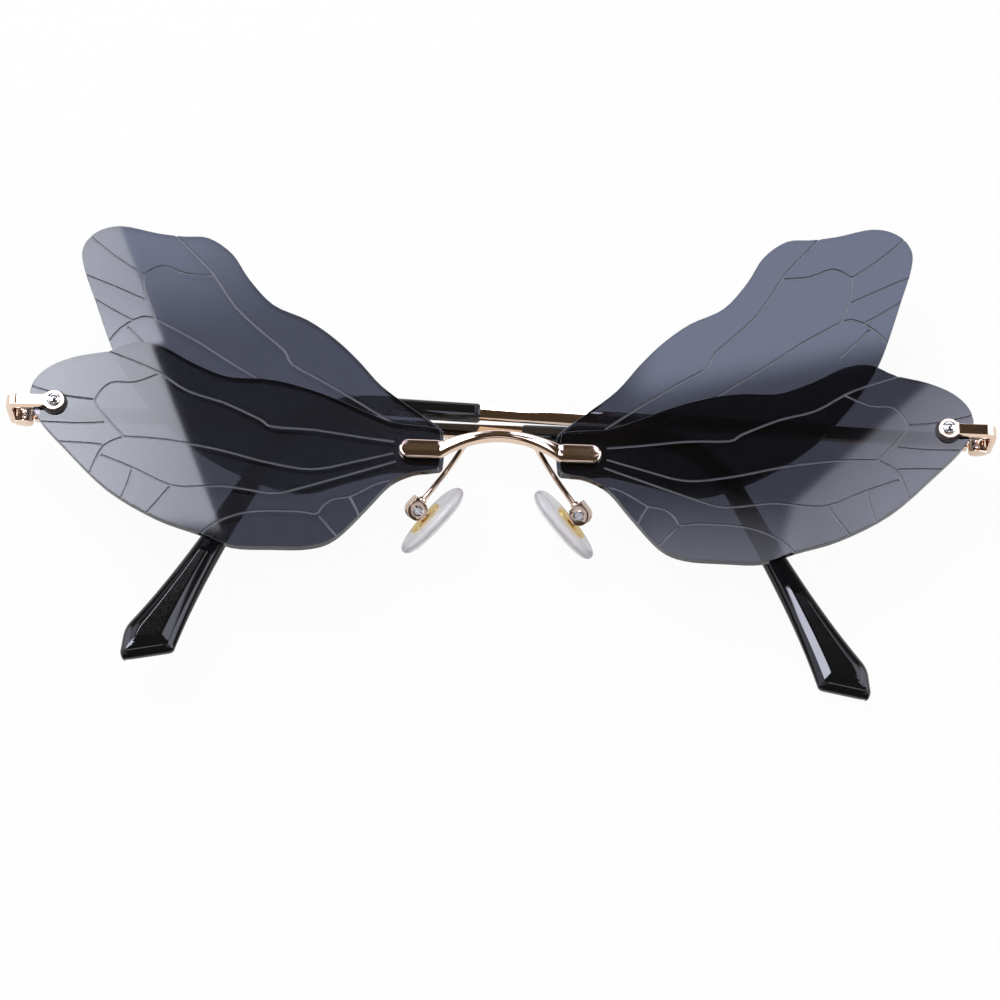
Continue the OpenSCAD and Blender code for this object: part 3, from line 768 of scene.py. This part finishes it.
def sleeve_rings(side):
    """Sections along the straight, round the bend and down the ear end."""
    at = TEMPLES[side]
    corner = BEND_R * math.tan(at["angle"] / 2)
    straight = at["bend"] - corner - SLEEVE_FROM
    curve = BEND_R * at["angle"]
    end = straight + curve + TEMPLE_L - at["bend"] - corner
    wide = end - 0.65 * PADDLE_W        # where the paddle is widest
    stops = [0.02, 0.1, 0.25, 0.5] + [1.0 + (end - 8.0) * k / 60 for k in range(60)]
    stops += [end - 7.9 + 0.12 * k for k in range(63)] + [end - 0.36, end - 0.30]
    rings = []
    for run in stops:
        a = min(at["angle"], max(0.0, (run - straight) / BEND_R))
        beyond = max(0.0, run - straight - curve)
        x = SLEEVE_FROM + min(run, straight) + BEND_R * math.sin(a) + beyond * math.cos(a)
        y = -BEND_R * (1 - math.cos(a)) - beyond * math.sin(a)
        half = SLEEVE_H / 2 + (PADDLE_W - SLEEVE_H) / 2 * (run / wide) ** PADDLE_SWELL
        thick = (SLEEVE_T + (PADDLE_T - SLEEVE_T) * min(1.0, 1.6 * run / (end + 2))) / 2
        past_core = min(1.0, max(0.0, (run - CORE_END) / 8))
        size = min(1.0, 2 * half / PADDLE_W) ** (1 - 0.4 * past_core)
        start = min(1.0, 0.8 + run * 0.5)       # the mouth is drawn in
        section, centre = sleeve_section(half, thick, size, run - end)
        ring = []
        for q, z in section:
            q = centre + (q - centre) * start
            ring.append(temple_point(side, x + q * math.sin(a), y + q * math.cos(a), z * start))
        rings.append(ring)
    return rings


acetate = black_acetate("polished black acetate")
for side in SIGNS:
    sleeve = lofted("ear_sleeve_" + side, sleeve_rings(side), acetate, 60)
    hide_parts("temple_tip_" + side)
    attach(sleeve, "temple_" + side)


# Pad arms and boxes
# A drawn gold wire is soldered behind the arch on each side and carries a small box, in which the
# pad's tab rocks on a slotted screw. Solder makes a foot at one end and a collar at the other.
BOX_EDGE = 0.12
PIN_EDGE = 0.06
PAD_T = 2.4
PAD_AT = Vector((10.7, -15.1, -8.0))
PAD_SPLAY = math.radians(42)
PAD_LEAN = math.radians(13)
PAD_FLARE = math.radians(32)
PAD_TURN = (Matrix.Rotation(PAD_SPLAY, 4, "Z") @ Matrix.Rotation(PAD_LEAN, 4, "X")
            @ Matrix.Rotation(-PAD_FLARE, 4, "Y"))
WIRE_R = 0.43
BOX_OUT = PAD_T / 2 + 2.25      # from the pad's middle to the box's
FOOT_X = BRIDGE_W / 2 - 10.5
FOOT_UP = 1.7                   # above the lugs' middle
SEAT_UP = 1.6                   # from the box's middle to its top, where the arm comes in
LEAD_UP = 3.1
# Radius and height of the solder's steps
COLLAR = ((0.68, -0.1), (0.7, 0.15), (0.64, 0.4), (0.5, 0.56), (0.42, 0.6))
FOOT = ((0.8, 0.1), (0.79, -0.15), (0.68, -0.38), (0.5, -0.54), (0.42, -0.6))


def by_pad(x, y, z):
    """A point given from the left pad's middle, in the frame of the wings."""
    return PAD_AT + PAD_TURN @ Vector((x, y, z))


def on_side(sign, rings):
    """Rings made for the wearer's left, mirrored for the right."""
    return [[world(sign * p[0], p[1], p[2]) for p in ring] for ring in rings]


def wire_rings(way):
    """Circles along a smooth line through the points of a way."""
    line = []
    for i in range(len(way) - 1):
        a, b = way[i], way[i + 1]
        before = way[i - 1] if i else a
        after = way[i + 2] if i + 2 < len(way) else b
        for t in [k / 8 for k in range(8)]:
            line.append(0.5 * (2 * a + (b - before) * t + (2 * before - 5 * a + 4 * b - after) * t * t
                               + (3 * a - before - 3 * b + after) * t ** 3))
    line.append(way[-1])
    rings = []
    for i, point in enumerate(line):
        ahead = (line[min(i + 1, len(line) - 1)] - line[max(i - 1, 0)]).normalized()
        across = Vector((0.6, 0.7, 0.4)).cross(ahead).normalized()
        beside = ahead.cross(across)
        rings.append([point + WIRE_R * (math.cos(a) * across + math.sin(a) * beside)
                      for a in circle(24)])
    return rings


for side in SIGNS:
    softened("pad_cup_" + side, "pad_box_" + side, gold, BOX_EDGE, "front")
    softened("pad_pin_" + side, "pad_screw_" + side, nickel, PIN_EDGE, "front")
foot = Vector((FOOT_X, FOOT_UP - BRIDGE_DROP, 0))
seat = by_pad(BOX_OUT, SEAT_UP, 0)
lead = by_pad(BOX_OUT, LEAD_UP, 0)
way = [foot + Vector((0, 0, -0.1)), foot + Vector((0.9, -0.8, -2)), foot + Vector((3.1, -3.25, -4.6)),
       lead, seat + (lead - seat) * 0.05]
collar_rings = [[by_pad(BOX_OUT + r * math.cos(a), SEAT_UP + rise, r * math.sin(a))
                 for a in circle(24)] for r, rise in COLLAR]
foot_rings = [[(foot.x + r * math.cos(a), foot.y + r * math.sin(a), z) for a in circle(24)]
              for r, z in FOOT]
for side, sign in SIGNS.items():
    arm = lofted("drawn_arm_" + side, on_side(sign, wire_rings(way)), gold, 60)
    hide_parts("pad_arm_" + side)
    collar = lofted("solder_collar_" + side, on_side(sign, collar_rings), gold, 60)
    blob = lofted("solder_foot_" + side, on_side(sign, foot_rings), gold, 60)
    for piece in (arm, collar, blob):
        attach(piece, "front")


# Nose pads
# Clear silicone is moulded round a brass insert, which shows through as yellow. The pad is an
# oval, wider towards its top, and dished a little on the side of the nose.
PAD_L = 13.5
PAD_W = 7.2
PAD_SET = 0.5
PAD_TAPER = 0.10


def brass_insert(name):
    paint = Paint(name)
    tint = paint.speckle(500, 4)
    return paint.finish(paint.skin({
        "Base Color": paint.blend(tint, (0.86, 0.60, 0.18, 1), (0.95, 0.74, 0.32, 1)),
        "Metallic": 1.0,
        "Roughness": 0.22 + tint * 0.12,
        "Normal": paint.bump(tint, 0.1)}))


def silicone(name):
    """Clear, with a little milk in it."""
    paint = Paint(name)
    haze = paint.speckle(260, 4)
    clear = paint.skin({
        "Base Color": paint.blend(haze, (0.95, 0.95, 0.97, 1), (0.89, 0.89, 0.93, 1)),
        "Roughness": 0.16 + haze * 0.10,
        "IOR": 1.41,
        "Transmission Weight": 1.0})
    milk = paint.skin({
        "Base Color": (0.90, 0.90, 0.97, 1),
        "Roughness": 0.25})
    return paint.finish(paint.either(0.28 + haze * 0.16, clear, milk))


def pad_rings():
    rings = []
    for i in range(25):
        t = i / 24
        a = math.pi * t
        size = math.sin(a) ** 0.42 if 0 < t < 1 else 0.05
        depth = -math.cos(a) * (1.0 if t < 0.5 else 0.94)
        hollow = 0.16 * (1 - size) if t < 0.5 else 0.0
        ring = []
        for b in circle(48):
            lengthwise = math.copysign(abs(math.cos(b)) ** 0.8, math.cos(b))
            crosswise = math.copysign(abs(math.sin(b)) ** 0.8, math.sin(b))
            ring.append(by_pad(PAD_T / 2 * depth + hollow,
                               PAD_SET + PAD_L / 2 * size * lengthwise,
                               -PAD_W / 2 * size * crosswise * (1 + PAD_TAPER * lengthwise)))
        rings.append(ring)
    return rings


brass = brass_insert("brass insert")
clear_pad = silicone("clear silicone")
for side, sign in SIGNS.items():
    painted("pad_core_" + side, brass)
    pad = lofted("silicone_pad_" + side, on_side(sign, pad_rings()), clear_pad, 70)
    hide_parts("nose_pad_" + side)
    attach(pad, "pad_" + side)


# Floor and light
# A pale sweep under the glasses. The camera sees the white of the surroundings through it, under
# the glasses' shadow, so temples that are opened past it stay in view. Three soft lamps light it.
FLOOR_HALF = 4
PALE = (0.85, 0.85, 0.85, 1)
WHITE = (1, 1, 1, 1)


def softbox(name, middle, width, height, radiance):
    """A rectangular lamp that points at the glasses and isn't mirrored in them."""
    lamp = bpy.data.lights.new(name, "AREA")
    lamp.shape = "RECTANGLE"
    lamp.size = width
    lamp.size_y = height
    lamp.energy = radiance * math.pi * width * height
    box = bpy.data.objects.new(name, lamp)
    bpy.context.scene.collection.objects.link(box)
    box.location = middle
    box.rotation_euler = (Vector((0, 0, FRONT)) - Vector(middle)).to_track_quat("-Z", "Y").to_euler()
    box.visible_glossy = False


floor_mesh = bpy.data.meshes.new("floor")
floor_mesh.from_pydata([(-FLOOR_HALF, -FLOOR_HALF, 0), (FLOOR_HALF, -FLOOR_HALF, 0),
                        (FLOOR_HALF, FLOOR_HALF, 0), (-FLOOR_HALF, FLOOR_HALF, 0)], [], [(0, 1, 2, 3)])
floor = bpy.data.objects.new("floor", floor_mesh)
bpy.context.scene.collection.objects.link(floor)
floor.location.z = lowest[2] - 0.0002
paint = Paint("white sweep")
seen = paint.node("ShaderNodeLightPath", {}, {}, "Is Camera Ray")
mirrored = paint.node("ShaderNodeLightPath", {}, {}, "Is Glossy Ray")
through = paint.node("ShaderNodeLightPath", {}, {}, "Is Transmission Ray")
matt = paint.node("ShaderNodeBsdfDiffuse", {}, {"Color": PALE})
white = paint.node("ShaderNodeEmission", {}, {"Color": WHITE, "Strength": 1.0})
shaded = paint.either(mirrored * 0.45, matt, white)
open_floor = paint.node("ShaderNodeBsdfTransparent", {}, {"Color": WHITE})
floor_mesh.materials.append(paint.finish(paint.either((seen + through) * 0.95, shaded, open_floor)))

softbox("left softbox", (-0.30, 0.45, FRONT + 0.700), 0.40, 0.60, 6.5)
softbox("low front panel", (0.05, -0.65, 0.65), 0.6, 0.35, 2.5)
softbox("right strip", (0.75, 0.30, 0.45), 0.25, 0.5, 3.0)


# Studio reflections
# Polished faces mirror the sharp edge of a left softbox, soft panels behind, at both sides and low
# in front, a faint warm glow, and darkness between them. The camera sees white, also through the
# lenses, and the matt faces get an even grey.
WARM_LIGHT = (1.0, 0.78, 0.55, 1)
KEY_LIGHT = (0.965, 1.0, 1.11, 1)
BLUE_LIGHT = (0.90, 1.0, 1.40, 1)
PALE_LIGHT = (1.0, 1.03, 1.22, 1)
EVEN_LIGHT = (0.5, 0.5, 0.52, 1)
# Each panel's direction, half width and soft edge in degrees, and strength
PANELS = (
    ((-0.38, 0.11, 0.92), 10, 2.5, 12.0), ((0.40, 0.13, 0.91), 7, 3, 2.6),
    ((-0.62, 0.36, 0.70), 11, 5, 1.5), ((0.62, 0.36, 0.70), 11, 5, 2.0),
    ((-0.85, -0.14, 0.50), 16, 6, 1.0), ((0.85, -0.14, 0.50), 16, 6, 2.6),
    ((-0.87, 0.37, 0.31), 14, 5, 2.0), ((0.87, 0.37, 0.31), 14, 5, 2.0),
    ((-0.49, -0.61, 0.66), 9, 5, 0.5), ((0.49, -0.61, 0.66), 9, 5, 0.5),
    ((0.0, -0.64, 0.77), 7, 4, 2.0))


class Sky(Paint):
    """The surroundings, put together in the same way as a material."""

    def __init__(self, surroundings):
        surroundings.use_nodes = True
        self.tree = surroundings.node_tree
        self.tree.nodes.clear()

    def panel(self, direction, middle, wide, soft):
        """1 within an angle of a direction, eased to 0 outside."""
        aim = Vector(middle).normalized()
        near = (self.part(direction, "X") * aim.x + self.part(direction, "Y") * aim.y
                + self.part(direction, "Z") * aim.z)
        return self.rise(near, math.cos(math.radians(wide + soft)), math.cos(math.radians(wide)))

    def window(self, wave, start, full, still, end):
        """1 from full to still, eased to 0 at start and end."""
        return self.rise(wave, start, full) * self.rise(0.0 - wave, -end, -still)

    def glow(self, colour, strength):
        return self.node("ShaderNodeBackground", {}, {"Color": colour, "Strength": strength})


studio = bpy.data.worlds.new("studio")
bpy.context.scene.world = studio
sky = Sky(studio)
toward = sky.node("ShaderNodeTexCoord", {}, {}, "Generated")

# The slopes to the right and up, by which the flat wings mirror the surroundings
height = sky.part(toward, "Z").within(0.05, 1.0)
a = sky.part(toward, "X") / height
b = sky.part(toward, "Y") / height
above = sky.rise(sky.part(toward, "Z"), 0.05, 0.25)

# The left softbox, with a small step in its edge between the lower and the upper wings
key_border = -0.1053 - (b - 0.3944) * 0.42 + sky.rise(b, 0.4625, 0.4645) * 0.0053
key_edge = sky.rise(key_border - a, -0.0005, 0.0005)
key_level = (6.4 + (0.0 - a - 0.118) * 90).within(6.2, 11.0) * (1 - sky.rise(b, 0.45, 0.49) * 0.3)
key = sky.window(b, 0.386, 0.394, 0.55, 0.58) * sky.rise(a, -0.31, -0.28)

# The blue panels behind, in the upper wings
left_back = sky.rise(b, 0.462, 0.51) * (0.25 + sky.rise(0.0 - a, 0.08, 0.13) * 0.75) * 2.5
left_back = left_back * sky.rise(0.0 - a, 0.04, 0.06)
right_back = sky.rise(b - (a - 0.06) * 0.25, 0.443, 0.459) * sky.rise(a, 0.04, 0.06) * 3.0
back_frame = sky.window(b, 0.42, 0.44, 0.56, 0.60) * sky.window(a, -0.28, -0.24, 0.24, 0.28)
side_back = (left_back + right_back) * back_frame

# The pale panels: at the right behind two slanted edges, low, far behind, all round and below
past_right = a - b.maths("MAXIMUM", (b - 0.4057) * 1.01, (b - 0.4057) * 0.25) - 0.1085
right_level = (2.5 + past_right * 50).within(2.4, 4.2) * sky.rise(past_right, -0.0025, 0.003)
right_side = right_level * sky.window(b, 0.36, 0.375, 0.455, 0.47) * sky.rise(0.0 - a, -0.215, -0.19)
low = sky.rise(0.0 - b, -0.412, -0.38) * sky.rise(b, 0.36, 0.375)
low = low * sky.window(a, 0.04, 0.06, 0.10, 0.12) * 2.0
rear = sky.window(b, 0.95, 1.25, 6.0, 9.0) * sky.window(a, -1.2, -0.9, 0.9, 1.2) * 1.6
below = sky.rise(0.0 - sky.part(toward, "Z"), 0.0, 0.15) * 0.8
pale = (right_side + low + rear) * above + below
for middle, wide, soft, strength in PANELS:
    pale = pale + sky.panel(toward, middle, wide, soft) * strength

# The warm glow between the wings
warm = 0.06 + sky.window(b, 0.38, 0.40, 0.46, 0.50) * sky.rise(0.0 - abs(a), -0.06, -0.04) * 0.04

shine = sky.glow(WARM_LIGHT, warm)
for colour, strength in ((KEY_LIGHT, key_edge * key_level * key * above),
                         (BLUE_LIGHT, (1 - key_edge) * side_back * above),
                         (PALE_LIGHT, pale)):
    shine = sky.node("ShaderNodeAddShader", {}, {0: shine, 1: sky.glow(colour, strength)})
glossy = sky.node("ShaderNodeLightPath", {}, {}, "Is Glossy Ray")
seen = (sky.node("ShaderNodeLightPath", {}, {}, "Is Camera Ray")
        + sky.node("ShaderNodeLightPath", {}, {}, "Is Transmission Ray"))
lit = sky.either(glossy, sky.glow(EVEN_LIGHT, 0.8), shine)
lit = sky.either(seen, lit, sky.glow(WHITE, 1.0))
end = sky.tree.nodes.new("ShaderNodeOutputWorld")
sky.tree.links.new(lit.socket, end.inputs["Surface"])
